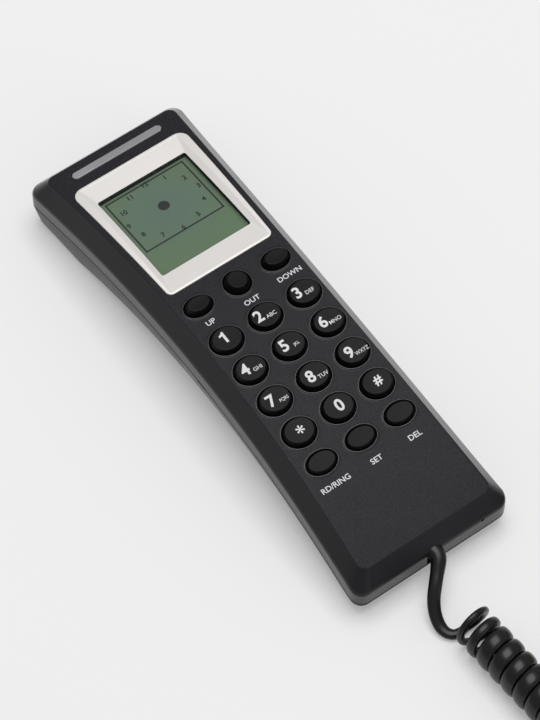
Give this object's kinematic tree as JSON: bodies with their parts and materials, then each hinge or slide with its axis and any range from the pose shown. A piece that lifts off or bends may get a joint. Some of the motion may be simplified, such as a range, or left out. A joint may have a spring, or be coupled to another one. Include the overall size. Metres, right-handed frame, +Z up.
{
  "type": "corded telephone",
  "caption": "One-piece corded telephone with an arched, waisted handset, framed display, oval rimmed keys, a hook plunger underneath and a curly cord ending in a modular plug.",
  "frame": {"origin": "middle of the handset's bounding box, on the table it lies on", "axes": "+X across the handset to the right of the keys, +Y along it towards the display, +Z up out of the face"},
  "size_m": [0.11, 0.3196, 0.0359],
  "materials": {
    "housing_black": "dark grey moulded plastic with a fine sand texture",
    "key_black": "satin black moulded plastic",
    "bezel_silver": "champagne silver lacquered plastic",
    "clear_lens": "clear acrylic sheet",
    "lcd_green": "grey-green liquid crystal glass",
    "white_plastic": "white moulded plastic",
    "circuit_board": "green solder mask",
    "pink_rubber": "layered silicone",
    "smoked_lens": "smoked translucent plastic with fine ribs",
    "lamp_white": "diffused epoxy",
    "grey_rubber": "silicone",
    "steel": "zinc plated",
    "capsule_grey": "moulded plastic",
    "black_foam": "foam",
    "capsule_metal": "plain metal can",
    "black_rubber": "satin rubber",
    "plunger_grey": "moulded plastic",
    "component_black": "moulded plastic",
    "cord_black": "satin vinyl sheath",
    "plug_clear": "clear polycarbonate",
    "gold": "gold plated"
  },
  "bodies": {
    "housing": {"front_cover": "housing_black", "back_cover": "housing_black", "display_bezel": "bezel_silver", "display_lens": "clear_lens", "lcd_glass": "lcd_green", "display_frame": "white_plastic", "display_board": "circuit_board", "display_connector": "pink_rubber", "indicator_lens": "smoked_lens", "indicator_lamps": "lamp_white", "indicator_board": "circuit_board", "keypad_mat": "grey_rubber", "main_board": "circuit_board", "board_screws": "steel", "case_screws": "steel", "earpiece": "capsule_grey", "earpiece_gasket": "black_foam", "microphone": "capsule_metal", "microphone_boot": "black_rubber", "hook_spring": "steel", "hook_switch": "component_black", "buzzer": "component_black", "cord_gland": "black_rubber", "curly_cord": "cord_black", "modular_plug": "plug_clear", "plug_contacts": "gold"},
    "key_up": {"key_up": "key_black"},
    "key_out": {"key_out": "key_black"},
    "key_down": {"key_down": "key_black"},
    "key_1": {"key_1": "key_black"},
    "key_2": {"key_2": "key_black"},
    "key_3": {"key_3": "key_black"},
    "key_4": {"key_4": "key_black"},
    "key_5": {"key_5": "key_black"},
    "key_6": {"key_6": "key_black"},
    "key_7": {"key_7": "key_black"},
    "key_8": {"key_8": "key_black"},
    "key_9": {"key_9": "key_black"},
    "key_star": {"key_star": "key_black"},
    "key_0": {"key_0": "key_black"},
    "key_hash": {"key_hash": "key_black"},
    "key_redial": {"key_redial": "key_black"},
    "key_set": {"key_set": "key_black"},
    "key_delete": {"key_delete": "key_black"},
    "hook_plunger": {"hook_plunger": "plunger_grey"}
  },
  "joints": [
    {"name": "key_up_press", "type": "slide", "parent": "housing", "child": "key_up", "axis": [0, 0.0762, -0.9971], "range_m": [0, 0.0012], "stiffness_N_per_m": 500, "springref_m": -0.0006, "deforming": ["keypad_mat"]},
    {"name": "key_out_press", "type": "slide", "parent": "housing", "child": "key_out", "axis": [0, 0.0762, -0.9971], "range_m": [0, 0.0012], "stiffness_N_per_m": 500, "springref_m": -0.0006, "deforming": ["keypad_mat"]},
    {"name": "key_down_press", "type": "slide", "parent": "housing", "child": "key_down", "axis": [0, 0.0762, -0.9971], "range_m": [0, 0.0012], "stiffness_N_per_m": 500, "springref_m": -0.0006, "deforming": ["keypad_mat"]},
    {"name": "key_1_press", "type": "slide", "parent": "housing", "child": "key_1", "axis": [0, 0.0762, -0.9971], "range_m": [0, 0.0012], "stiffness_N_per_m": 500, "springref_m": -0.0006, "deforming": ["keypad_mat"]},
    {"name": "key_2_press", "type": "slide", "parent": "housing", "child": "key_2", "axis": [0, 0.0762, -0.9971], "range_m": [0, 0.0012], "stiffness_N_per_m": 500, "springref_m": -0.0006, "deforming": ["keypad_mat"]},
    {"name": "key_3_press", "type": "slide", "parent": "housing", "child": "key_3", "axis": [0, 0.0762, -0.9971], "range_m": [0, 0.0012], "stiffness_N_per_m": 500, "springref_m": -0.0006, "deforming": ["keypad_mat"]},
    {"name": "key_4_press", "type": "slide", "parent": "housing", "child": "key_4", "axis": [0, 0.0762, -0.9971], "range_m": [0, 0.0012], "stiffness_N_per_m": 500, "springref_m": -0.0006, "deforming": ["keypad_mat"]},
    {"name": "key_5_press", "type": "slide", "parent": "housing", "child": "key_5", "axis": [0, 0.0762, -0.9971], "range_m": [0, 0.0012], "stiffness_N_per_m": 500, "springref_m": -0.0006, "deforming": ["keypad_mat"]},
    {"name": "key_6_press", "type": "slide", "parent": "housing", "child": "key_6", "axis": [0, 0.0762, -0.9971], "range_m": [0, 0.0012], "stiffness_N_per_m": 500, "springref_m": -0.0006, "deforming": ["keypad_mat"]},
    {"name": "key_7_press", "type": "slide", "parent": "housing", "child": "key_7", "axis": [0, 0.0762, -0.9971], "range_m": [0, 0.0012], "stiffness_N_per_m": 500, "springref_m": -0.0006, "deforming": ["keypad_mat"]},
    {"name": "key_8_press", "type": "slide", "parent": "housing", "child": "key_8", "axis": [0, 0.0762, -0.9971], "range_m": [0, 0.0012], "stiffness_N_per_m": 500, "springref_m": -0.0006, "deforming": ["keypad_mat"]},
    {"name": "key_9_press", "type": "slide", "parent": "housing", "child": "key_9", "axis": [0, 0.0762, -0.9971], "range_m": [0, 0.0012], "stiffness_N_per_m": 500, "springref_m": -0.0006, "deforming": ["keypad_mat"]},
    {"name": "key_star_press", "type": "slide", "parent": "housing", "child": "key_star", "axis": [0, 0.0762, -0.9971], "range_m": [0, 0.0012], "stiffness_N_per_m": 500, "springref_m": -0.0006, "deforming": ["keypad_mat"]},
    {"name": "key_0_press", "type": "slide", "parent": "housing", "child": "key_0", "axis": [0, 0.0762, -0.9971], "range_m": [0, 0.0012], "stiffness_N_per_m": 500, "springref_m": -0.0006, "deforming": ["keypad_mat"]},
    {"name": "key_hash_press", "type": "slide", "parent": "housing", "child": "key_hash", "axis": [0, 0.0762, -0.9971], "range_m": [0, 0.0012], "stiffness_N_per_m": 500, "springref_m": -0.0006, "deforming": ["keypad_mat"]},
    {"name": "key_redial_press", "type": "slide", "parent": "housing", "child": "key_redial", "axis": [0, 0.0762, -0.9971], "range_m": [0, 0.0012], "stiffness_N_per_m": 500, "springref_m": -0.0006, "deforming": ["keypad_mat"]},
    {"name": "key_set_press", "type": "slide", "parent": "housing", "child": "key_set", "axis": [0, 0.0762, -0.9971], "range_m": [0, 0.0012], "stiffness_N_per_m": 500, "springref_m": -0.0006, "deforming": ["keypad_mat"]},
    {"name": "key_delete_press", "type": "slide", "parent": "housing", "child": "key_delete", "axis": [0, 0.0762, -0.9971], "range_m": [0, 0.0012], "stiffness_N_per_m": 500, "springref_m": -0.0006, "deforming": ["keypad_mat"]},
    {"name": "hook_press", "type": "slide", "parent": "housing", "child": "hook_plunger", "axis": [0, -0.0762, 0.9971], "range_m": [0, 0.0025], "stiffness_N_per_m": 150, "springref_m": -0.003, "deforming": ["hook_spring"]}
  ]
}
